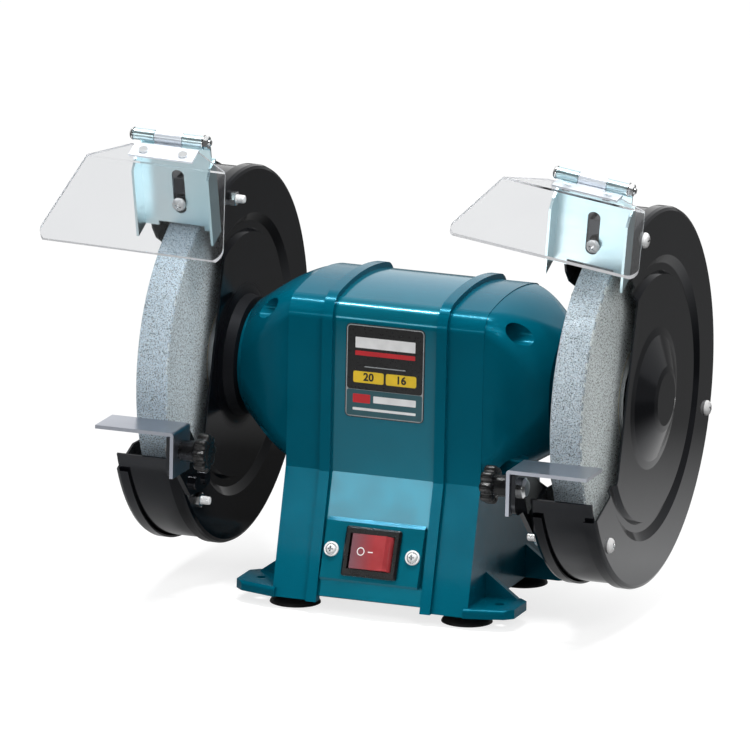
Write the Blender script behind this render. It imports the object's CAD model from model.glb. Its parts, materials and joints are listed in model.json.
import json
import math

import bmesh
import bpy
from mathutils import Matrix, Vector


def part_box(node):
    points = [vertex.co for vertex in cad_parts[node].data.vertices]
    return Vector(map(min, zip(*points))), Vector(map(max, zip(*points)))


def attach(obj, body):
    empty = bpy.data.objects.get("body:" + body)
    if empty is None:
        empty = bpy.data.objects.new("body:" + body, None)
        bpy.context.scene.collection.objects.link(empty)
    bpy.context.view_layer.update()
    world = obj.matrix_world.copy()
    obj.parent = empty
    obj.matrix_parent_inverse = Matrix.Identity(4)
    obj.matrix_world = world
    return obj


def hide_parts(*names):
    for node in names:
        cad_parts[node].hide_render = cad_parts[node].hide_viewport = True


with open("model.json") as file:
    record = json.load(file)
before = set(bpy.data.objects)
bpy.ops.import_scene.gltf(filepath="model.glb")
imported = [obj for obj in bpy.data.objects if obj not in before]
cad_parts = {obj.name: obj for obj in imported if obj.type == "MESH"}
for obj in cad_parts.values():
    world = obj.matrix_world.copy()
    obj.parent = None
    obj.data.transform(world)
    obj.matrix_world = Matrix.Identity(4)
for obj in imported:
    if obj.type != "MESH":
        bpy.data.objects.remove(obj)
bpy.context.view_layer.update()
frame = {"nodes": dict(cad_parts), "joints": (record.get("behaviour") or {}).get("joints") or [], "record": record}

nodes = frame["nodes"]
joints = {joint["name"]: joint for joint in frame["joints"]}
shaft_height = joints["rotor_spin"]["pos_m"][2]
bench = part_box("rubber_feet")[0].z
mm = 0.001


# ---- node trees -------------------------------------------------------------------

class Nodes:
    """Short calls that add nodes to a tree and join them."""

    def __init__(self, tree):
        self.tree = tree

    def feed(self, value, socket):
        """Link an output to an input, or set the input to a plain value."""
        if isinstance(value, bpy.types.NodeSocket):
            self.tree.links.new(value, socket)
        else:
            socket.default_value = value

    def add(self, kind, settings=None, **inputs):
        """New node with its settings, fed through the inputs that are named."""
        node = self.tree.nodes.new(kind)
        for key, value in (settings or {}).items():
            setattr(node, key, value)
        for key, value in inputs.items():
            self.feed(value, node.inputs[key.replace("_", " ")])
        return node

    def work_out(self, kind, operation, *values):
        """Outputs of a math node, its inputs fed in order."""
        node = self.add(kind, {"operation": operation})
        for value, socket in zip(values, node.inputs):
            self.feed(value, socket)
        return node.outputs

    def math(self, operation, first, second):
        return self.work_out("ShaderNodeMath", operation, first, second)["Value"]

    def vector_math(self, operation, *values):
        return self.work_out("ShaderNodeVectorMath", operation, *values)

    def span(self, value, start, end, low=0.0, high=1.0):
        """Value rescaled from start..end to low..high, clamped."""
        edges = {"From_Min": start, "From_Max": end, "To_Min": low, "To_Max": high}
        return self.add("ShaderNodeMapRange", Value=value, **edges).outputs["Result"]

    def axis(self, place, name):
        """One coordinate of a position."""
        return self.add("ShaderNodeSeparateXYZ", Vector=place).outputs[name]


# ---- finishes -------------------------------------------------------------------

patch_edges = (0.3, 0.7)     # noise levels between which one patch fades into the next


class Finish(Nodes):
    """One material: a Principled shader with patterns read from object coordinates."""

    def __init__(self, name, color, roughness, **fixed):
        self.material = bpy.data.materials.new(name)
        self.material.use_nodes = True
        super().__init__(self.material.node_tree)
        self.shader = self.tree.nodes["Principled BSDF"]
        self.shader.inputs["Base Color"].default_value = (*color, 1.0)
        self.shader.inputs["Roughness"].default_value = roughness
        for key, value in fixed.items():
            self.shader.inputs[key.replace("_", " ")].default_value = value
        self.material.diffuse_color = (*color, 1.0)
        self.place = self.add("ShaderNodeTexCoord").outputs["Object"]

    def noise(self, scale, detail, rough=0.5, stretch=(1.0, 1.0, 1.0)):
        """Fractal noise; scale is in features per metre, stretch squeezes it along an axis."""
        stretched = self.add("ShaderNodeMapping", Vector=self.place, Scale=stretch).outputs["Vector"]
        amounts = {"Scale": scale, "Detail": detail, "Roughness": rough}
        return self.add("ShaderNodeTexNoise", Vector=stretched, **amounts).outputs["Fac"]

    def cells(self, scale):
        """Distance from the nearest of many scattered points."""
        return self.add("ShaderNodeTexVoronoi", Vector=self.place, Scale=scale).outputs["Distance"]

    def from_shaft(self):
        """Distance from the shaft's axis."""
        centre = (0.0, 0.0, -shaft_height)
        across = self.vector_math("MULTIPLY_ADD", self.place, (0.0, 1.0, 1.0), centre)["Vector"]
        return self.vector_math("LENGTH", across)["Value"]

    def blend(self, share, first, second):
        """Colour between two colours or colour outputs."""
        node = self.add("ShaderNodeMix", {"data_type": "RGBA"}, Factor=share)
        for value, socket in zip((first, second), node.inputs[6:8]):
            self.feed((*value, 1.0) if isinstance(value, tuple) else value, socket)
        return node.outputs[2]

    def color(self, output):
        self.feed(output, self.shader.inputs["Base Color"])

    def roughness(self, output):
        self.feed(output, self.shader.inputs["Roughness"])

    def mottled(self, scale, detail, first, second, edges=patch_edges):
        """Colour the surface in soft patches of two colours."""
        self.color(self.blend(self.span(self.noise(scale, detail), *edges), first, second))

    def uneven(self, scale, detail, smooth, rough, edges=patch_edges):
        """Let the roughness drift between two values in soft patches."""
        self.roughness(self.span(self.noise(scale, detail), *edges, smooth, rough))

    def bump(self, height, distance, strength):
        """Raise the surface by a pattern, on top of any bump that it already has."""
        node = self.add("ShaderNodeBump", Height=height, Distance=distance, Strength=strength)
        chained = self.shader.inputs["Normal"]
        if chained.is_linked:
            self.feed(chained.links[0].from_socket, node.inputs["Normal"])
        self.feed(node.outputs["Normal"], chained)


def scaled(color, factor):
    return tuple(channel * factor for channel in color)


def teal_paint(name, color, metallic, smooth, casting, coat):
    """Gloss teal enamel; casting is how much of the sand-cast grain shows low down."""
    paint = Finish(
        name, color, smooth + 0.04, Metallic=metallic, Specular_Tint=(0.03, 0.7, 1.0, 1.0),
        Specular_IOR_Level=0.25, Coat_Weight=coat, Coat_Roughness=0.05,
    )
    paint.mottled(14.0, 3.0, scaled(color, 0.93), scaled(color, 1.07), (0.35, 0.65))
    paint.uneven(60.0, 3.0, smooth, smooth + 0.08, (0.35, 0.7))
    paint.bump(paint.noise(300.0, 2.0, 0.55), 0.00008, 0.12)
    low_down = paint.span(paint.axis(paint.place, "Z"), bench + 0.02, bench + 0.075, 1.0, 0.08)
    paint.bump(paint.math("MULTIPLY", paint.noise(950.0, 3.0, 0.6), low_down), 0.00016, casting)
    return paint.material


def guard_paint(name, hub_rough, mirror=0.5):
    """Black gloss enamel; hub_rough is how dull it is close round the shaft."""
    tint = (0.88, 0.92, 1.0, 1.0)
    paint = Finish(name, (0.003, 0.0034, 0.0045), 0.2, Specular_Tint=tint, Specular_IOR_Level=mirror)
    paint.mottled(22.0, 4.0, (0.0022, 0.0025, 0.0034), (0.004, 0.0045, 0.006))
    gloss = paint.span(paint.noise(70.0, 4.0), *patch_edges, 0.1, 0.15)
    hub = paint.span(paint.from_shaft(), 0.036, 0.050, hub_rough, 0.0)
    paint.roughness(paint.math("MAXIMUM", gloss, hub))
    paint.bump(paint.noise(9.0, 1.0), 0.0006, 0.12)
    paint.bump(paint.noise(420.0, 2.0), 0.00003, 0.15)
    return paint.material


def zinc_sheet(name, duller, brighter, metallic=1.0):
    """Cold-rolled sheet with passivated zinc, its rolling lines along the shaft."""
    zinc = Finish(name, brighter, 0.28, Metallic=metallic)
    zinc.mottled(20.0, 3.0, duller, brighter, (0.35, 0.68))
    rolled = zinc.noise(700.0, 2.0, 0.6, (0.06, 1.0, 1.0))
    zinc.roughness(zinc.span(rolled, *patch_edges, 0.28, 0.34))
    zinc.bump(rolled, 0.00001, 0.1)
    return zinc.material


def zinc_fastener():
    zinc = Finish("zinc_fastener", (0.82, 0.84, 0.85), 0.26, Metallic=1.0)
    zinc.mottled(90.0, 2.0, (0.84, 0.87, 0.89), (0.93, 0.94, 0.94))
    zinc.uneven(300.0, 3.0, 0.15, 0.21)
    zinc.bump(zinc.noise(900.0, 2.0), 0.00001, 0.12)
    return zinc.material


def dull_plating():
    """Dark, thin plating at the bottom of a recess."""
    dull = Finish("dull_plating", (0.05, 0.052, 0.056), 0.5, Metallic=0.8)
    dull.mottled(400.0, 3.0, (0.03, 0.032, 0.036), (0.08, 0.082, 0.086))
    dull.uneven(900.0, 2.0, 0.4, 0.6)
    return dull.material


def turned_steel():
    steel = Finish("turned_steel", (0.56, 0.57, 0.58), 0.3, Metallic=1.0)
    lines = steel.noise(2600.0, 2.0, 0.5, (1.0, 0.02, 0.02))
    steel.color(steel.blend(lines, (0.46, 0.47, 0.48), (0.66, 0.66, 0.66)))
    steel.roughness(steel.span(lines, *patch_edges, 0.2, 0.42))
    steel.bump(lines, 0.00002, 0.5)
    return steel.material


def lamination_steel():
    steel = Finish("lamination_steel", (0.26, 0.27, 0.28), 0.45, Metallic=1.0)
    sheets = steel.noise(2000.0, 0.0, 0.5, (1.0, 0.01, 0.01))
    steel.color(steel.blend(sheets, (0.15, 0.15, 0.16), (0.34, 0.34, 0.35)))
    steel.bump(sheets, 0.00008, 0.6)
    return steel.material


def copper_wire():
    copper = Finish("copper_wire", (0.60, 0.24, 0.10), 0.3, Metallic=1.0)
    turns = copper.noise(1300.0, 1.0, 0.4, (0.15, 1.0, 1.0))
    copper.color(copper.blend(turns, (0.32, 0.10, 0.04), (0.72, 0.32, 0.14)))
    copper.bump(turns, 0.0003, 0.7)
    return copper.material


def abrasive(name, grain, bond):
    """Bonded grit: pale and dark grains in a grey-blue bond; grain is in grains per metre."""
    stone = Finish(name, bond, 0.9, Specular_IOR_Level=0.3)
    clouded = stone.blend(stone.span(stone.noise(26.0, 4.0), *patch_edges), bond, scaled(bond, 1.12))
    dark = stone.span(stone.noise(grain, 3.0, 0.65), 0.5, 0.6)
    mixed = stone.blend(dark, clouded, scaled(bond, 0.2))
    bright = stone.span(stone.cells(grain * 0.8), 0.12, 0.36, 1.0, 0.0)
    stone.color(stone.blend(stone.math("MULTIPLY", bright, 0.9), mixed, (0.93, 0.97, 0.98)))
    stone.roughness(stone.span(bright, 0.0, 1.0, 0.95, 0.45))
    stone.bump(stone.noise(grain * 0.9, 3.0, 0.65), 0.0004, 0.9)
    return stone.material


def rubber():
    skin = Finish("rubber", (0.011, 0.011, 0.011), 0.6)
    skin.mottled(70.0, 4.0, (0.008, 0.008, 0.008), (0.018, 0.018, 0.018))
    skin.uneven(240.0, 3.0, 0.5, 0.75)
    skin.bump(skin.noise(1500.0, 3.0), 0.0001, 0.5)
    return skin.material


def moulded_black():
    skin = Finish("moulded_black", (0.006, 0.006, 0.0065), 0.3, Specular_IOR_Level=0.4)
    skin.mottled(50.0, 3.0, (0.004, 0.004, 0.0045), (0.008, 0.008, 0.0085))
    skin.uneven(300.0, 3.0, 0.24, 0.36)
    skin.bump(skin.noise(2200.0, 2.0), 0.00005, 0.5)
    return skin.material


def clear_sheet():
    sheet = Finish("clear_sheet", (0.79, 0.80, 0.81), 0.04, Transmission_Weight=1.0, IOR=1.35)
    sheet.mottled(12.0, 3.0, (0.77, 0.78, 0.795), (0.81, 0.82, 0.83))
    sheet.uneven(25.0, 4.0, 0.02, 0.07, (0.35, 0.75))
    sheet.bump(sheet.noise(9.0, 2.0), 0.0006, 0.15)
    return sheet.material


def frosted_edge():
    """Sawn edge of the clear sheet, which scatters the light inside it."""
    edge = Finish("frosted_edge", (0.95, 0.96, 0.98), 0.45)
    edge.mottled(180.0, 3.0, (0.88, 0.89, 0.93), (0.97, 0.98, 0.99))
    edge.uneven(600.0, 3.0, 0.3, 0.55)
    edge.bump(edge.noise(1400.0, 2.0), 0.00005, 0.4)
    return edge.material


def lens_red():
    """Red lens of the rocker, milky toward its left end."""
    red = Finish("lens_red", (0.55, 0.012, 0.01), 0.12, Transmission_Weight=0.35, IOR=1.49, Coat_Weight=0.4)
    lit = red.blend(red.span(red.noise(70.0, 2.0), *patch_edges), (0.44, 0.045, 0.05), (0.60, 0.075, 0.085))
    milky = red.span(red.axis(red.place, "X"), -0.012, 0.003, 0.9, 0.0)
    red.color(red.blend(milky, lit, (0.25, 0.13, 0.16)))
    red.uneven(400.0, 2.0, 0.08, 0.2)
    return red.material


def printed(name, color, roughness=0.4):
    ink = Finish(name, color, roughness)
    ink.mottled(130.0, 3.0, scaled(color, 0.86), color)
    ink.uneven(500.0, 2.0, roughness - 0.08, roughness + 0.08)
    ink.bump(ink.noise(1500.0, 2.0), 0.00002, 0.3)
    return ink.material


def blotter_paper():
    paper = Finish("blotter_paper", (0.55, 0.50, 0.38), 0.85)
    paper.color(paper.blend(paper.noise(900.0, 4.0), (0.44, 0.40, 0.29), (0.66, 0.61, 0.48)))
    paper.bump(paper.noise(1500.0, 3.0), 0.0001, 0.6)
    return paper.material


finishes = {
    "teal_paint": teal_paint("teal_casting", (0.0, 0.085, 0.132), 0.08, 0.18, 0.4, 0.04),
    "black_steel": guard_paint("guard_paint", 0.0),
    "rubber": rubber(),
    "zinc_fasteners": zinc_fastener(),
    "zinc_sheet": zinc_sheet("zinc_sheet", (0.64, 0.88, 0.94), (0.80, 0.94, 0.98)),
    "bright_steel": turned_steel(),
    "core_steel": lamination_steel(),
    "copper": copper_wire(),
    "abrasive": abrasive("abrasive_fine", 1500.0, (0.56, 0.68, 0.77)),
    "paper": blotter_paper(),
    "clear_plastic": clear_sheet(),
    "black_plastic": moulded_black(),
    "red_rocker": lens_red(),
    "label": printed("label_black", (0.004, 0.004, 0.0045), 0.32),
}
wheel_finishes = {       # rim, then sides
    "left": (finishes["abrasive"], abrasive("abrasive_fine_side", 1000.0, (0.67, 0.76, 0.80))),
    "right": (
        abrasive("abrasive_coarse", 1350.0, (0.50, 0.59, 0.65)),
        abrasive("abrasive_coarse_side", 1100.0, (0.92, 1.0, 1.0)),
    ),
}
edge_finish = frosted_edge()
recess_finish = dull_plating()
print_white = printed("print_white", (0.82, 0.82, 0.82))
print_grey = printed("print_grey", (0.33, 0.35, 0.36))
print_red = printed("print_red", (0.55, 0.012, 0.02))
print_yellow = printed("print_yellow", (0.83, 0.56, 0.02))
print_teal = printed("print_teal", (0.018, 0.085, 0.105))

leaf_dull, leaf_bright = (0.68, 0.73, 0.79), (0.78, 0.82, 0.87)
node_finishes = {row["node"]: finishes[row["material_slot"]] for row in frame["record"]["subparts"]}
own_finishes = (
    (teal_paint("teal_sheet", (0.0, 0.128, 0.186), 0.36, 0.15, 0.1, 0.6), ("centre_shell", "switch_plate")),
    (zinc_sheet("zinc_rest", (0.50, 0.53, 0.60), (0.60, 0.63, 0.70)), ("left_tool_rest", "right_tool_rest")),
    (guard_paint("guard_plate_paint", 0.6, 0.2), ("left_guard_inner_plate", "right_guard_inner_plate")),
    (zinc_sheet("zinc_leaf", leaf_dull, leaf_bright, 0.5), ("left_hinge_leaf", "right_hinge_leaf")),
)
for finish, own_nodes in own_finishes:
    node_finishes.update(dict.fromkeys(own_nodes, finish))
for node, finish in node_finishes.items():
    for material_slot in nodes[node].material_slots:
        material_slot.material = finish


# ---- mesh helpers -----------------------------------------------------------------

def linked(name, data):
    """New object in the scene."""
    holder = bpy.data.objects.new(name, data)
    bpy.context.scene.collection.objects.link(holder)
    return holder


def put(name, mesh, body, slot, replaced=None, materials=None):
    """Make a mesh a piece that rides on a body; a bare mesh gets materials or its slot's finish."""
    piece = linked(name, mesh)
    if not mesh.materials:
        for material in materials or (finishes[slot],):
            mesh.materials.append(material)
    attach(piece, body)
    if replaced:
        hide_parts(replaced)


def close_mesh(name, bm, sharp):
    """Finish a bmesh: outward faces, smooth shading broken at sharp edges."""
    bmesh.ops.remove_doubles(bm, verts=bm.verts, dist=1e-7)
    bmesh.ops.recalc_face_normals(bm, faces=bm.faces)
    for face in bm.faces:
        face.smooth = True
    mesh = bpy.data.meshes.new(name)
    bm.to_mesh(mesh)
    bm.free()
    mesh.set_sharp_from_angle(angle=math.radians(sharp))
    return mesh


def ring_solid(name, rings, closed=False, sharp=40.0):
    """Closed mesh through rings of points, capped at both ends or joined end to start.

    A ring of one point is a pole; the others all have the same count.
    """
    bm = bmesh.new()
    made = [[bm.verts.new(point) for point in ring_points] for ring_points in rings]
    pairs = list(zip(made, made[1:]))
    if closed:
        pairs.append((made[-1], made[0]))
    for low, high in pairs:
        count = max(len(low), len(high))
        for k in range(count):
            after = (k + 1) % count
            corners = (low[k % len(low)], low[after % len(low)], high[after % len(high)], high[k % len(high)])
            bm.faces.new(list(dict.fromkeys(corners)))
    if not closed:
        for cap in (made[0], made[-1]):
            if len(cap) > 2:
                bm.faces.new(cap)
    return close_mesh(name, bm, sharp)


def ring(radius, height, count, outline=None):
    """Ring of points round z; with an outline the radius is a margin inside it."""
    points = []
    for k in range(count):
        angle = math.tau * k / count
        reach = outline(angle) - radius if outline else radius
        points.append((reach * math.cos(angle), reach * math.sin(angle), height))
    return points


def turned(name, profile, count=48, closed=False):
    """Mesh of revolution round z through (radius, height) pairs; a radius of 0 is a pole."""
    rings = [ring(radius, height, count if radius else 1) for radius, height in profile]
    return ring_solid(name, rings, closed)


def profile_mm(base, *pairs):
    """Profile in metres from (radius, height) pairs in millimetres, the heights from a base."""
    return [(radius * mm, base + height * mm) for radius, height in pairs]


def reached(start, neighbours):
    """All that can be reached from a start through neighbours."""
    seen, queue = {start}, [start]
    while queue:
        for other in neighbours(queue.pop()):
            if other not in seen:
                seen.add(other)
                queue.append(other)
    return seen


def solid_spans(node):
    """Lowest and highest corner of each solid in a node."""
    bm = bmesh.new()
    bm.from_mesh(nodes[node].data)
    bmesh.ops.remove_doubles(bm, verts=bm.verts, dist=2e-6)
    done, spans = set(), []
    for start in bm.verts:
        if start not in done:
            solid = reached(start, lambda vertex: [edge.other_vert(vertex) for edge in vertex.link_edges])
            done |= solid
            axes = list(zip(*(vertex.co for vertex in solid)))
            spans.append((Vector([min(values) for values in axes]), Vector([max(values) for values in axes])))
    bm.free()
    return spans


def extent(points, direction):
    """How far the nearest and the farthest of some points are along a direction."""
    distances = [point.dot(direction) for point in points]
    return min(distances), max(distances)


def baked_mesh(obj):
    """Plain mesh of an object as its modifiers leave it."""
    graph = bpy.context.evaluated_depsgraph_get()
    graph.update()
    final = obj.evaluated_get(graph)
    return bpy.data.meshes.new_from_object(final, preserve_all_data_layers=True, depsgraph=graph)


def cut(mesh, tool):
    """Mesh less a tool mesh, worked out in millimetres; the tool is used up."""
    target = linked("cut_target", mesh)
    cutter = linked("cut_tool", tool)
    for obj in (target, cutter):
        obj.data.transform(Matrix.Scale(1 / mm, 4))
    modifier = target.modifiers.new("cut", "BOOLEAN")
    modifier.object = cutter
    modifier.operation = "DIFFERENCE"
    modifier.solver = "EXACT"
    result = baked_mesh(target)
    result.transform(Matrix.Scale(mm, 4))
    for obj in (target, cutter):
        bpy.data.objects.remove(obj)
    bpy.data.meshes.remove(tool)
    return result


def join(name, *meshes):
    """One mesh out of several closed shells."""
    bm = bmesh.new()
    for mesh in meshes:
        bm.from_mesh(mesh)
    mesh = bpy.data.meshes.new(name)
    bm.to_mesh(mesh)
    bm.free()
    mesh.set_sharp_from_angle(angle=math.radians(32))
    return mesh


# ---- repeated parts and wheels, made by geometry nodes ---------------------------------

class Tree(Nodes):
    """Geometry node tree with named inputs that ends in one plain mesh."""

    def __init__(self, name):
        super().__init__(bpy.data.node_groups.new(name, "GeometryNodeTree"))
        self.tree.interface.new_socket("Geometry", in_out="OUTPUT", socket_type="NodeSocketGeometry")
        self.start = self.add("NodeGroupInput")
        self.end = self.add("NodeGroupOutput")

    def ask(self, name, kind, value=None):
        """Named input of the tree, with the value that it has unless one is given."""
        socket = self.tree.interface.new_socket(name, in_out="INPUT", socket_type="NodeSocket" + kind)
        if value is not None:
            socket.default_value = value
        return self.start.outputs[name]

    def finish(self, geometry, material):
        real = self.add("GeometryNodeRealizeInstances", Geometry=geometry)
        painted = self.add("GeometryNodeSetMaterial", Geometry=real.outputs["Geometry"], Material=material)
        self.feed(painted.outputs["Geometry"], self.end.inputs["Geometry"])
        return self.tree


def run_tree(mesh, tree, settings):
    """Run a tree on a mesh and return the plain mesh that it makes."""
    host = linked("tree_host", mesh)
    modifier = host.modifiers.new("tree", "NODES")
    modifier.node_group = tree
    named = {item.name: item.identifier for item in tree.interface.items_tree if item.in_out == "INPUT"}
    for key, value in settings.items():
        modifier[named[key]] = value
    made = baked_mesh(host)
    bpy.data.objects.remove(host)
    return made


def set_of_parts_tree():
    """A part on every point, facing as the point's facing attribute says, at any turn about that."""
    tree = Tree("set_of_parts")
    points = tree.ask("Geometry", "Geometry")
    part = tree.ask("Part", "Object")
    size = tree.ask("Size", "Float", 1.0)
    spread = tree.ask("Turn spread", "Float", math.tau)
    seed = tree.ask("Seed", "Int", 1)
    material = tree.ask("Finish", "Material")
    facing = tree.add("GeometryNodeInputNamedAttribute", {"data_type": "FLOAT_VECTOR"}, Name="facing")
    aim = tree.add("FunctionNodeAlignRotationToVector", {"axis": "Z"}, Vector=facing.outputs["Attribute"])
    turn = tree.add("FunctionNodeRandomValue", {"data_type": "FLOAT"}, Seed=seed)
    tree.feed(0.0, turn.inputs[2])
    tree.feed(spread, turn.inputs[3])
    euler = tree.add("ShaderNodeCombineXYZ", Z=turn.outputs[1])
    spin = tree.add("FunctionNodeEulerToRotation", Euler=euler.outputs["Vector"])
    rotation = tree.add(
        "FunctionNodeRotateRotation", {"rotation_space": "LOCAL"},
        Rotation=aim.outputs["Rotation"], Rotate_By=spin.outputs["Rotation"],
    )
    placed = tree.add(
        "GeometryNodeInstanceOnPoints", Points=points,
        Instance=tree.add("GeometryNodeObjectInfo", Object=part).outputs["Geometry"],
        Rotation=rotation.outputs["Rotation"],
        Scale=tree.add("ShaderNodeCombineXYZ", X=size, Y=size, Z=size).outputs["Vector"],
    )
    return tree.finish(placed.outputs["Instances"], material)


def grinding_wheel_tree():
    """A wheel round the shaft with a gritty surface and slightly crumbled edges."""
    tree = Tree("grinding_wheel")
    outer = tree.ask("Outer radius", "Float", 0.1)
    bore = tree.ask("Bore radius", "Float", 0.008)
    thick = tree.ask("Thickness", "Float", 0.02)
    edge = tree.ask("Edge radius", "Float", 0.0008)
    around = tree.ask("Around", "Int", 480)
    across = tree.ask("Across", "Int", 120)
    grit = tree.ask("Grit height", "Float", 0.0002)
    grain = tree.ask("Grain per metre", "Float", 900.0)
    seed = tree.ask("Seed", "Float", 1.0)
    material = tree.ask("Finish", "Material")
    middle = tree.math("MULTIPLY", tree.math("ADD", outer, bore), 0.5)
    depth = tree.math("SUBTRACT", outer, bore)
    path = tree.add("GeometryNodeCurvePrimitiveCircle", Resolution=around, Radius=middle)
    outline = tree.add(
        "GeometryNodeCurvePrimitiveQuadrilateral", {"mode": "RECTANGLE"}, Width=depth, Height=thick,
    )
    sharp = outline.outputs["Curve"]
    rounded = tree.add("GeometryNodeFilletCurve", {"mode": "POLY"}, Curve=sharp, Radius=edge)
    even = tree.add("GeometryNodeResampleCurve", Curve=rounded.outputs["Curve"], Count=across)
    swept = tree.add(
        "GeometryNodeCurveToMesh", Curve=path.outputs["Curve"], Profile_Curve=even.outputs["Curve"],
    )
    noise = tree.add("ShaderNodeTexNoise", {"noise_dimensions": "4D"}, W=seed, Scale=grain, Detail=2.0)
    lift = tree.math("MULTIPLY", tree.math("SUBTRACT", noise.outputs["Fac"], 0.55), grit)
    push = tree.add("ShaderNodeVectorMath", {"operation": "SCALE"}, Scale=lift)
    tree.feed(tree.add("GeometryNodeInputNormal").outputs["Normal"], push.inputs[0])
    offset = push.outputs["Vector"]
    rough = tree.add("GeometryNodeSetPosition", Geometry=swept.outputs["Mesh"], Offset=offset)
    upright = (0.0, math.pi / 2, 0.0)
    stood = tree.add("GeometryNodeTransform", Geometry=rough.outputs["Geometry"], Rotation=upright)
    return tree.finish(stood.outputs["Geometry"], material)


parts_tree = set_of_parts_tree()
wheel_tree = grinding_wheel_tree()


def set_of_parts(name, part_mesh, places, replaced, seed):
    """Place copies of a plated part at (position, facing) pairs, as one plain mesh."""
    points = bpy.data.meshes.new(name + "_points")
    points.from_pydata([tuple(position) for position, _ in places], [], [])
    facing = points.attributes.new("facing", "FLOAT_VECTOR", "POINT")
    for index, (_, direction) in enumerate(places):
        facing.data[index].vector = direction
    part = linked(name + "_part", part_mesh)
    made = run_tree(points, parts_tree, {"Part": part, "Seed": seed, "Finish": finishes["zinc_fasteners"]})
    dull = [polygon.material_index for polygon in part_mesh.polygons]
    bpy.data.objects.remove(part)
    made.name = name
    if any(dull):
        made.materials.append(recess_finish)
        for index, polygon in enumerate(made.polygons):
            polygon.material_index = dull[index % len(dull)]
    put(name, made, "machine", "zinc_fasteners", replaced)


# ---- grinding wheels --------------------------------------------------------------------

bore_radius = 8.15 * mm      # a little more than the shaft's
surface_play = 0.05 * mm     # how far the smooth wheel stays inside its CAD box
side_reach = 0.4 * mm        # how far in from the box a face still belongs to the sides


def wheel_stone(side, seed, rim_finish, side_finish):
    """Gritty wheel with one finish on its rim and another on its sides."""
    node = side + "_grinding_wheel"
    low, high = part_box(node)
    centre = (low + high) / 2
    thickness = high.x - low.x
    stone = run_tree(bpy.data.meshes.new(node + "_seed"), wheel_tree, {
        "Outer radius": (high.z - low.z) / 2 - surface_play, "Bore radius": bore_radius,
        "Thickness": thickness - 2 * surface_play, "Seed": seed, "Finish": rim_finish,
    })
    stone.transform(Matrix.Translation(centre))
    stone.materials.append(side_finish)
    for polygon in stone.polygons:
        polygon.use_smooth = False
        polygon.material_index = int(abs(polygon.center.x - centre.x) > thickness / 2 - side_reach)
    put(side + "_wheel_stone", stone, "rotor", "abrasive", node)


for index, (side, (rim_finish, side_finish)) in enumerate(wheel_finishes.items()):
    wheel_stone(side, 1.0 + index, rim_finish, side_finish)


# ---- screws, nuts and bolts ---------------------------------------------------------------

def thread_profile(radius, start, end, pitch):
    """(radius, height) pairs of a thread's grooves, from start up to end."""
    pairs, height = [], start
    root = radius - 0.45 * pitch
    while height + pitch <= end + 1e-9:
        for reach, share in ((root, 0.0), (root, 0.24), (radius, 0.5), (radius, 0.74)):
            pairs.append((reach, height + share * pitch))
        height += pitch
    return pairs


def cross_slot(width, reach, top, depth):
    """Tapered cross for a screw head's recess, opening at height top."""
    corners = []
    for turn in range(4):
        spun = Matrix.Rotation(-turn * math.pi / 2, 2)
        corners += [spun @ Vector(corner) for corner in ((width, width), (reach, width), (reach, -width))]
    rings = []
    for height, share in ((top + 0.4 * mm, 1.12), (top - depth, 0.5)):
        rings.append([(corner.x * share, corner.y * share, height) for corner in corners])
    return ring_solid("cross_slot", rings)


def dulled(mesh, inner, outer, low, high):
    """Mesh with its faces between two radii and two heights marked for the second finish."""
    for polygon in mesh.polygons:
        spot = polygon.center
        if inner <= math.hypot(spot.x, spot.y) <= outer and low <= spot.z <= high:
            polygon.material_index = 1
    return mesh


def crossed(mesh, width, reach, top, depth):
    """Mesh with a cross recess cut into its top, its inside marked as dull."""
    result = cut(mesh, cross_slot(width, reach, top, depth))
    result.set_sharp_from_angle(angle=math.radians(35))
    return dulled(result, 0.0, reach, top - depth - 0.05 * mm, top - 0.35 * mm)


def hex_outline(flats):
    """Radius of a hexagon at an angle."""
    half = flats / 2

    def reach(angle):
        nearest = (angle + math.pi / 6) % (math.pi / 3) - math.pi / 6
        return half / math.cos(nearest)
    return reach


def hex_nut(name, flats, thickness, bore, base=0.0):
    """Nut standing on z = base, its corners chamfered round and the top of its bore bevelled."""
    count = 60
    bevel = 0.35 * mm
    slope = 0.55
    flat = flats / 2 * 0.97
    top = base + thickness

    def chamfer(face, rise):
        """Ring round the hexagon, its height off the face growing with its reach."""
        corners = ring(0.0, face, count, hex_outline(flats))
        return [(x, y, z + rise * (math.hypot(x, y) - flat)) for x, y, z in corners]

    rings = [
        ring(bore, base, count), ring(flat, base, count), chamfer(base, slope), chamfer(top, -slope),
        ring(flat, top, count), ring(bore + bevel, top, count), ring(bore, top - bevel, count),
    ]
    return ring_solid(name, rings, closed=True, sharp=28.0)


def outer_ends(spans, inset=0.0, facing=1.0):
    """Place and facing at the outer end of each span; facing 1 looks away from the machine's middle."""
    places = []
    for low, high in spans:
        centre = (low + high) / 2
        side = math.copysign(1.0, centre.x)
        end = (high.x if side > 0 else low.x) - side * inset
        places.append(((end, centre.y, centre.z), (side * facing, 0.0, 0.0)))
    return places


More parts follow.
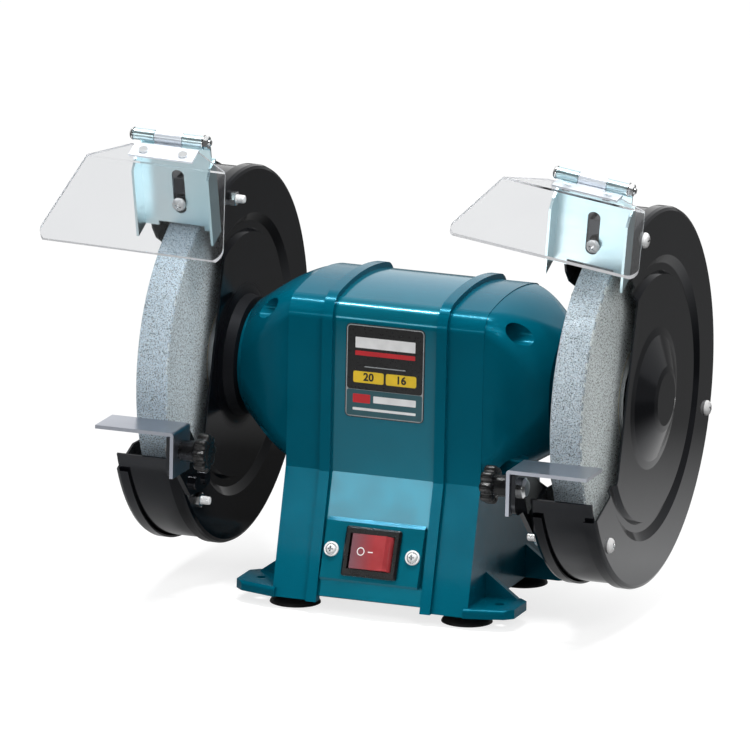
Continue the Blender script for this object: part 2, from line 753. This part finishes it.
# guard clamp screws: crossed button head outside, thread with dull grooves inside
clamp_spans = solid_spans("guard_clamp_screws")
head_height = 3.0 * mm
shank_foot = head_height - (clamp_spans[0][1].x - clamp_spans[0][0].x)
clamp_profile = profile_mm(shank_foot, (0.0, 0.0), (2.0, 0.0), (2.45, 0.5))
clamp_profile += thread_profile(2.5 * mm, shank_foot + 0.6 * mm, shank_foot + 18.0 * mm, 0.8 * mm)
clamp_profile += profile_mm(shank_foot, (2.5, 18.6))
clamp_profile += profile_mm(
    0.0, (2.5, -0.02), (4.75, 0.02), (4.75, 0.55), (4.62, 1.1), (4.2, 1.75),
    (3.5, 2.3), (2.5, 2.72), (1.2, 2.95), (0.0, 3.0),
)
clamp_screw = crossed(turned("clamp_screw", clamp_profile, 40), 0.55 * mm, 2.4 * mm, head_height, 1.7 * mm)
dulled(clamp_screw, 2.0 * mm, 2.2 * mm, shank_foot + 0.5 * mm, shank_foot + 18.4 * mm)
clamp_places = outer_ends(clamp_spans, head_height)
set_of_parts("guard_clamp_screw_set", clamp_screw, clamp_places, "guard_clamp_screws", 3)

# guard clamp nuts, their bevelled side toward the middle
nut_spans = solid_spans("guard_clamp_nuts")
nut_thickness = nut_spans[-1][1].x - nut_spans[-1][0].x
clamp_nut = hex_nut("clamp_nut", 8.0 * mm, nut_thickness, 2.5 * mm)
set_of_parts("guard_clamp_nut_set", clamp_nut, outer_ends(nut_spans, facing=-1.0), "guard_clamp_nuts", 8)

# panel screws: dished washer and crossed pan head, square to the sloping panel
pad_up = Vector(joints["switch_rock"]["axis"]).normalized()
pad_out = Vector((1.0, 0.0, 0.0)).cross(pad_up).normalized()
pan_top = 2.7
panel_washer = turned("panel_washer", profile_mm(
    0.0, (1.95, 0.0), (4.35, 0.0), (4.5, 0.15), (4.5, 1.05), (4.3, 1.3),
    (3.7, 1.3), (3.5, 1.1), (3.45, 0.35), (1.95, 0.35),
), closed=True)
dulled(panel_washer, 2.5 * mm, 3.55 * mm, 0.3 * mm, 1.05 * mm)
panel_head = crossed(turned("panel_head", profile_mm(
    0.0, (0.0, -8.9), (1.2, -8.9), (1.9, -8.0), (1.9, 0.37), (2.6, 0.37), (2.7, 1.3),
    (2.65, 1.8), (2.45, 2.2), (2.0, 2.5), (1.2, 2.67), (0.0, pan_top),
)), 0.6 * mm, 1.9 * mm, pan_top * mm, 1.6 * mm)
panel_corners = [vertex.co for vertex in nodes["panel_screws"].data.vertices]
panel_places = []
for low, high in solid_spans("panel_screws"):
    shell = [co for co in panel_corners if low.x - 0.01 * mm <= co.x <= high.x + 0.01 * mm]
    top = extent(shell, pad_out)[1]
    centre = Vector(((low.x + high.x) / 2, 0.0, 0.0)) + pad_up * sum(extent(shell, pad_up)) / 2
    panel_places.append((centre + pad_out * (top - pan_top * mm), pad_out))
panel_screw = join("panel_screw", panel_washer, panel_head)
set_of_parts("panel_screw_set", panel_screw, panel_places, "panel_screws", 5)

# shield bracket bolts: round crossed head on a plain shank, square to their largest flat front
bolt_mesh = nodes["bracket_clamp_bolts"].data
facing_areas = {}
for polygon in bolt_mesh.polygons:
    if polygon.normal.y < -0.5:
        facing = tuple(round(value, 2) for value in polygon.normal)
        facing_areas[facing] = facing_areas.get(facing, 0.0) + polygon.area
bolt_axis = Vector(max(facing_areas, key=facing_areas.get)).normalized()
bolt_places = []
for side in (-1.0, 1.0):
    shell = [vertex.co for vertex in bolt_mesh.vertices if vertex.co.x * side > 0]
    foot, top = extent(shell, bolt_axis)
    crown = [co for co in shell if co.dot(bolt_axis) > top - 0.2 * mm]
    bolt_places.append((sum(crown, Vector()) / len(crown), bolt_axis))
bolt_profile = profile_mm(foot - top, (0.0, 0.0), (2.0, 0.0), (2.45, 0.5))
bolt_profile += profile_mm(
    0.0, (2.45, -3.4), (4.1, -3.4), (4.2, -3.2), (4.1, -1.9), (3.7, -1.1),
    (2.9, -0.45), (1.6, -0.08), (0.0, 0.0),
)
bolt = crossed(turned("bracket_bolt", bolt_profile), 0.6 * mm, 2.3 * mm, 0.0, 1.6 * mm)
set_of_parts("bracket_bolt_set", bolt, bolt_places, "bracket_clamp_bolts", 4)


# ---- hinge rods, knobs and shields -------------------------------------------------------

def standing(direction, place):
    """Matrix that stands a shape made round z on a place, along a direction."""
    return Matrix.Translation(place) @ direction.to_track_quat("Z", "Y").to_matrix().to_4x4()


def hinge_rod(hand):
    """Rod with a round head at one end and a washer and nut on the thread at the other."""
    node = hand + "_hinge_rod"
    hinge = joints[hand + "_shield_hinge"]
    along = Vector(hinge["axis"]).normalized()
    centre = Vector(hinge["pos_m"])
    start, end = extent([vertex.co - centre for vertex in nodes[node].data.vertices], along)
    radius, head = 2.0, 2.4
    profile = profile_mm(
        start, (0.0, 0.0), (1.6, 0.05), (2.9, 0.5), (3.7, 1.3), (3.9, 2.0),
        (3.9, head), (radius, head + 0.02),
    )
    profile += profile_mm(end, (radius, -5.4))
    profile += thread_profile(radius * mm, end - 5.3 * mm, end - 0.5 * mm, 0.7 * mm)
    profile += profile_mm(end, (1.9, -0.4), (1.5, 0.0), (0.0, 0.0))
    washer = profile_mm(end, (radius, -5.0), (4.2, -5.0), (4.3, -4.9), (4.3, -4.45), (radius, -4.4))
    mesh = join(
        node + "_set", turned("rod", profile, 40),
        hex_nut("rod_nut", 7.0 * mm, 3.0 * mm, radius * mm, end - 4.4 * mm),
        turned("rod_washer", washer, 40, closed=True),
    )
    mesh.transform(standing(along, centre))
    put(node + "_set", mesh, hand + "_bracket", "zinc_fasteners", node)


def lobed(radius, depth, lobes):
    """Radius of a handwheel rim with rounded lobes, at an angle."""
    def reach(angle):
        return radius - depth * (0.5 - 0.5 * math.cos(lobes * angle)) ** 1.6
    return reach


def rest_knob(hand):
    """Moulded knob: a collar, and a rim of eight rounded lobes."""
    node = hand + "_rest_knob"
    low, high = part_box(node)
    length = high.x - low.x
    shoulder = length - 10.3 * mm        # where the collar meets the rim
    count = 128
    lobes = lobed((high.z - low.z) / 2, 2.0 * mm, 8)
    collar = profile_mm(length, (3.05, -0.2), (5.9, 0.0), (6.4, -0.6))
    collar += profile_mm(shoulder, (6.5, 1.5), (7.2, 0.35))
    rim = profile_mm(
        0.0, (2.4, 8.0), (1.2, 7.8), (0.35, 7.2), (0.0, 6.2), (0.0, 2.0),
        (0.35, 0.9), (1.2, 0.25), (2.4, 0.0),
    )
    inside = profile_mm(0.0, (7.0, 0.0), (6.4, 0.7), (0.5, 0.7))
    inside += profile_mm(shoulder, (0.5, -0.8), (3.05, -0.8))
    rings = [ring(radius, height, count) for radius, height in collar]
    rings += [ring(margin, height, count, lobes) for margin, height in rim]
    rings += [ring(radius, height, count) for radius, height in inside]
    mesh = ring_solid(hand + "_knob", rings, closed=True, sharp=50.0)
    side, face = (1.0, low.x) if hand == "right" else (-1.0, high.x)
    outward = Vector((side, 0.0, 0.0))
    mesh.transform(standing(outward, (face, (low.y + high.y) / 2, (low.z + high.z) / 2)))
    put(hand + "_knob_moulding", mesh, hand + "_knob", "black_plastic", node)


def level_neighbours(face):
    """Faces across a face's edges that turn little from it."""
    others = [other for edge in face.edges for other in edge.link_faces]
    return [other for other in others if other.normal.angle(face.normal, 3.0) < math.radians(35)]


def eye_shield(hand):
    """The sheet of a shield, clear on its two broad sides, with its sawn edges frosted."""
    node = hand + "_eye_shield"
    bm = bmesh.new()
    bm.from_mesh(nodes[node].data)
    bmesh.ops.remove_doubles(bm, verts=bm.verts, dist=1e-6)
    broad = set()
    for _ in range(2):
        largest = max((face for face in bm.faces if face not in broad), key=lambda face: face.calc_area())
        broad |= reached(largest, level_neighbours)
    for face in bm.faces:
        face.material_index = 0 if face in broad else 1
    mesh = close_mesh(hand + "_clear_shield", bm, 4.0)
    sheet_and_edge = (finishes["clear_plastic"], edge_finish)
    put(hand + "_clear_shield", mesh, hand + "_shield", "clear_plastic", node, sheet_and_edge)


for hand in ("left", "right"):
    hinge_rod(hand)
    rest_knob(hand)
    eye_shield(hand)


# ---- switch marks ----------------------------------------------------------------------------

mark_back, mark_front = -0.05, 0.06      # a mark's sides under and over the rocker, in millimetres


def rocker_face():
    """The middle of the rocker's front and that face's outward direction."""
    total, normal, centre = 0.0, Vector(), Vector()
    frontal = 0.85       # least cosine between the panel's outward direction and a face of the front
    for polygon in nodes["switch_rocker"].data.polygons:
        if polygon.normal.dot(pad_out) > frontal:
            total += polygon.area
            normal += polygon.normal * polygon.area
            centre += polygon.center * polygon.area
    return centre / total, normal.normalized()


def mark_at(mesh, along):
    """Lay a flat mark on the rocker, a distance to the right of its middle."""
    centre, normal = rocker_face()
    across = pad_up.cross(normal).normalized()
    turn = Matrix((across, pad_up, normal)).transposed().to_4x4()
    mesh.transform(Matrix.Translation(centre + across * along + normal * 0.02 * mm) @ turn)
    return mesh


def flat_box(name, half_across, half_up):
    """Thin bar as deep as a mark."""
    corners = ((-1, -1), (1, -1), (1, 1), (-1, 1))
    rings = []
    for height in (mark_back * mm, mark_front * mm):
        rings.append([(side * half_across, end * half_up, height) for side, end in corners])
    return ring_solid(name, rings)


off_profile = profile_mm(0.0, (1.95, mark_back), (2.5, mark_back), (2.5, mark_front), (1.95, mark_front))
off_mark = mark_at(turned("off_mark", off_profile, closed=True), -4.5 * mm)
on_mark = mark_at(flat_box("on_mark", 1.6 * mm, 0.3 * mm), 1.9 * mm)
put("rocker_marks", join("rocker_marks", off_mark, on_mark), "rocker", "label", materials=(print_white,))


# ---- label ------------------------------------------------------------------------------

card_low, card_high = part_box("rating_label")
card_front, card_back = card_low.y, card_high.y
split = card_low.z + 0.30 * (card_high.z - card_low.z)      # between the upper field and the lower band
layer = 0.03 * mm


def outline_plate(name, points, thickness, material, place):
    """Thin plate from a flat outline in x and z, its back on y = place."""
    rings = [[(x, y, z) for x, z in points] for y in (place, place - thickness)]
    mesh = ring_solid(name, rings)
    mesh.materials.append(material)
    return mesh


def rounded_rectangle(x0, z0, x1, z1, radius):
    """Outline of (x, z) points between two corners, with its own corners round."""
    points, steps = [], 6
    left, bottom, right, top = x0 + radius, z0 + radius, x1 - radius, z1 - radius
    for cx, cz, start in ((right, top, 0), (left, top, 90), (left, bottom, 180), (right, bottom, 270)):
        for k in range(steps + 1):
            angle = math.radians(start + 90 * k / steps)
            points.append((cx + radius * math.cos(angle), cz + radius * math.sin(angle)))
    return points


def field(name, margin, bottom, top, radius, material, level):
    """Printed area across the card, standing a hair proud of it or of the area under it."""
    outline = rounded_rectangle(card_low.x + margin, bottom, card_high.x - margin, top, radius)
    return outline_plate(name, outline, layer * 1.2, material, card_front + layer * (1.1 - level))


def strip(name, base, left, bottom, right, top, radius, ink):
    """Printed strip on a field, in millimetres from the card's middle line and a base height."""
    outline = rounded_rectangle(left * mm, base + bottom * mm, right * mm, base + top * mm, radius * mm)
    return outline_plate(name, outline, layer * 1.2, ink, card_front - layer * 0.9)


def number_mesh(name, text, x):
    """Plain figures as a thin mesh, centred in one of the yellow boxes."""
    curve = bpy.data.curves.new(name, "FONT")
    curve.body = text
    curve.size = 6.6 * mm
    curve.align_x, curve.align_y = "CENTER", "CENTER"
    curve.extrude = 0.02 * mm
    curve.offset = 0.22 * mm
    curve.resolution_u = 4
    holder = linked(name, curve)
    mesh = baked_mesh(holder)
    bpy.data.objects.remove(holder)
    spot = Matrix.Translation((x, card_front - layer * 2.2, split + 7.7 * mm))
    mesh.transform(spot @ Matrix.Rotation(math.pi / 2, 4, "X"))
    mesh.materials.clear()
    mesh.materials.append(finishes["label"])
    return mesh


def merge_pieces(name, meshes):
    """One mesh with a material slot for each source material."""
    bm = bmesh.new()
    materials = []
    for mesh in meshes:
        first = len(bm.faces)
        material = mesh.materials[0]
        if material not in materials:
            materials.append(material)
        bm.from_mesh(mesh)
        bm.faces.ensure_lookup_table()
        for face in bm.faces[first:]:
            face.material_index = materials.index(material)
    merged = bpy.data.meshes.new(name)
    bm.to_mesh(merged)
    bm.free()
    for material in materials:
        merged.materials.append(material)
    return merged


card = rounded_rectangle(card_low.x, card_low.z, card_high.x, card_high.z, 3.0 * mm)
black = finishes["label"]
edge, inner_edge = 0.5 * mm, 1.1 * mm
label_parts = [
    outline_plate("card", card, card_back - card_front - layer, black, card_back),
    field("border", edge, card_low.z + edge, card_high.z - edge, 2.6 * mm, print_grey, 0),
    field("upper_field", inner_edge, split, card_high.z - inner_edge, 2.0 * mm, black, 1),
    field("lower_band", inner_edge, card_low.z + inner_edge, split - 0.2 * mm, 1.2 * mm, print_teal, 1),
    strip("white_strip", card_high.z, -19.0, -14.6, 19.0, -8.0, 0.4, print_white),
    strip("red_strip", card_high.z, -19.0, -19.2, 19.0, -16.4, 0.4, print_red),
    strip("rule", card_high.z, -13.0, -26.2, 13.0, -25.6, 0.2, print_grey),
    strip("box_left", split, -20.0, 4.2, -0.7, 11.2, 1.2, print_yellow),
    strip("box_right", split, 0.7, 4.2, 20.0, 11.2, 1.2, print_yellow),
    number_mesh("number_left", "20", -10.3 * mm),
    number_mesh("number_right", "16", 10.3 * mm),
    strip("red_block", card_low.z, -20.0, 9.0, -9.0, 14.4, 0.5, print_red),
    strip("bar_a", card_low.z, -7.0, 9.6, 20.0, 13.8, 0.4, print_white),
    strip("bar_b", card_low.z, -20.0, 4.4, 20.0, 6.0, 0.4, print_white),
]
put("label_card", merge_pieces("label_card", label_parts), "machine", "label", "rating_label")


# ---- stage, camera and light -----------------------------------------------------------------

def stage_floor():
    """Pale floor that reads as white and still takes the object's shadow."""
    material = bpy.data.materials.new("pale_floor")
    material.use_nodes = True
    shading = Nodes(material.node_tree)
    shading.tree.nodes.clear()
    place = shading.add("ShaderNodeTexCoord").outputs["Object"]
    rays = shading.add("ShaderNodeLightPath").outputs

    def away(x, y):
        """Distance along the floor from a spot."""
        return shading.vector_math("DISTANCE", place, (x, y, bench))["Value"]

    # within a pool in front the floor is paler and glows less, so that it takes the shadow
    from_pool, pool_edge = away(-0.06, -0.34), (0.36, 0.46)
    albedo = shading.span(from_pool, *pool_edge, 0.4, 0.03)
    seen = shading.math("MAXIMUM", rays["Is Camera Ray"], rays["Is Transmission Ray"])
    white = shading.math("MULTIPLY", seen, shading.span(from_pool, *pool_edge, 0.76, 1.0))
    # gloss sees a bright spot in front, and a rear that is palest at one spot and dark at two
    bright_spot, pale_spot = away(-0.02, -0.255), away(0.2, 0.13)
    behind = shading.span(shading.axis(place, "Y"), -0.1, 0.05)
    rear = shading.math("MULTIPLY", behind, shading.span(pale_spot, 0.0, 0.34, 0.85, 0.1))
    for x, y, inner, outer in ((-0.02, 0.19, 0.1, 0.2), (0.65, 0.2, 0.15, 0.35)):
        rear = shading.math("MULTIPLY", rear, shading.span(away(x, y), inner, outer, 0.03, 1.0))
    front = shading.span(bright_spot, 0.07, 0.12, 1.6, 0.02)
    mirrored = shading.math("MULTIPLY", rays["Is Glossy Ray"], shading.math("ADD", front, rear))
    shade = shading.add("ShaderNodeCombineXYZ", X=albedo, Y=albedo, Z=albedo).outputs["Vector"]
    diffuse = shading.add("ShaderNodeBsdfDiffuse", Color=shade)
    glow = shading.add("ShaderNodeEmission", Strength=shading.math("MAXIMUM", white, mirrored))
    both = shading.add("ShaderNodeAddShader")
    shading.feed(diffuse.outputs[0], both.inputs[0])
    shading.feed(glow.outputs[0], both.inputs[1])
    shading.add("ShaderNodeOutputMaterial", Surface=both.outputs[0])
    bm = bmesh.new()
    bmesh.ops.create_grid(bm, x_segments=1, y_segments=1, size=8.0)
    mesh = bpy.data.meshes.new("floor")
    bm.to_mesh(mesh)
    bm.free()
    mesh.transform(Matrix.Translation((0.0, 0.0, bench)))
    mesh.materials.append(material)
    linked("floor", mesh)


def studio_world():
    """White to the camera, a pale backdrop behind for reflections, a dark room in front."""
    world = bpy.data.worlds.new("studio")
    bpy.context.scene.world = world
    world.use_nodes = True
    shading = Nodes(world.node_tree)
    rays = shading.add("ShaderNodeLightPath").outputs
    direction = shading.add("ShaderNodeTexCoord").outputs["Generated"]
    behind = shading.span(shading.axis(direction, "Y"), -0.1, 0.6, 0.12, 0.9)
    leftward = shading.span(shading.axis(direction, "X"), -0.1, 0.25, 1.0, 0.4)
    backdrop = shading.math("MULTIPLY", behind, leftward)
    seen = shading.math("MAXIMUM", rays["Is Camera Ray"], rays["Is Transmission Ray"])
    mirrored = shading.math("MULTIPLY", rays["Is Glossy Ray"], backdrop)
    plain = shading.math("MULTIPLY", rays["Is Diffuse Ray"], 0.25)
    level = shading.math("MAXIMUM", seen, shading.math("MAXIMUM", mirrored, plain))
    background = shading.tree.nodes["Background"].inputs
    shading.feed(level, background["Strength"])
    shading.feed((1.0, 1.0, 1.0, 1.0), background["Color"])


def toward(azimuth, elevation):
    """Direction from the object at two angles in degrees; azimuth 0 is straight in front."""
    a, e = math.radians(azimuth), math.radians(elevation)
    return Vector((math.sin(a) * math.cos(e), -math.cos(a) * math.cos(e), math.sin(e)))


def softbox(name, azimuth, elevation, distance, width, height, radiance, mirrored=True):
    """Area light aimed at the middle of the object."""
    light = bpy.data.lights.new(name, "AREA")
    light.shape = "RECTANGLE"
    light.size, light.size_y = width, height
    light.energy = radiance * math.pi * width * height
    away = toward(azimuth, elevation)
    holder = linked(name, light)
    holder.location = Vector((0.0, 0.0, shaft_height)) + away * distance
    holder.rotation_mode = "QUATERNION"
    holder.rotation_quaternion = away.to_track_quat("Z", "Y")
    holder.visible_glossy = mirrored


def place_camera():
    """Long lens at the front right, a little above the shaft."""
    azimuth, elevation, roll = 19.85, 13.81, math.radians(1.22)
    place = Vector((2.205, -6.177, shaft_height + 1.610))
    back = toward(azimuth, elevation)
    level = toward(azimuth + 90.0, 0.0)
    rise = back.cross(level)
    right = level * math.cos(roll) + rise * math.sin(roll)
    up = rise * math.cos(roll) - level * math.sin(roll)
    data = bpy.data.cameras.new("camera")
    data.sensor_width = 36.0
    data.lens = 539.7
    data.clip_start, data.clip_end = 0.1, 100.0
    pose = Matrix((right, up, back)).transposed().to_4x4()
    pose.translation = place
    camera = linked("camera", data)
    camera.matrix_world = pose
    bpy.context.scene.camera = camera


stage_floor()
studio_world()
softbox("overhead", 0.0, 84.0, 1.6, 1.3, 0.7, 2.0)
softbox("crown_strip", 0.0, 84.0, 1.5, 1.2, 0.06, 130.0)
softbox("low_front_left", -18.3, 9.2, 1.08, 0.6, 0.11, 5.0)
softbox("front_right", 44.0, 33.0, 2.3, 1.3, 1.1, 4.5, mirrored=False)
softbox("left", -70.0, 30.0, 2.3, 0.9, 0.9, 2.4, mirrored=False)
place_camera()
bpy.context.scene.view_settings.view_transform = "Standard"
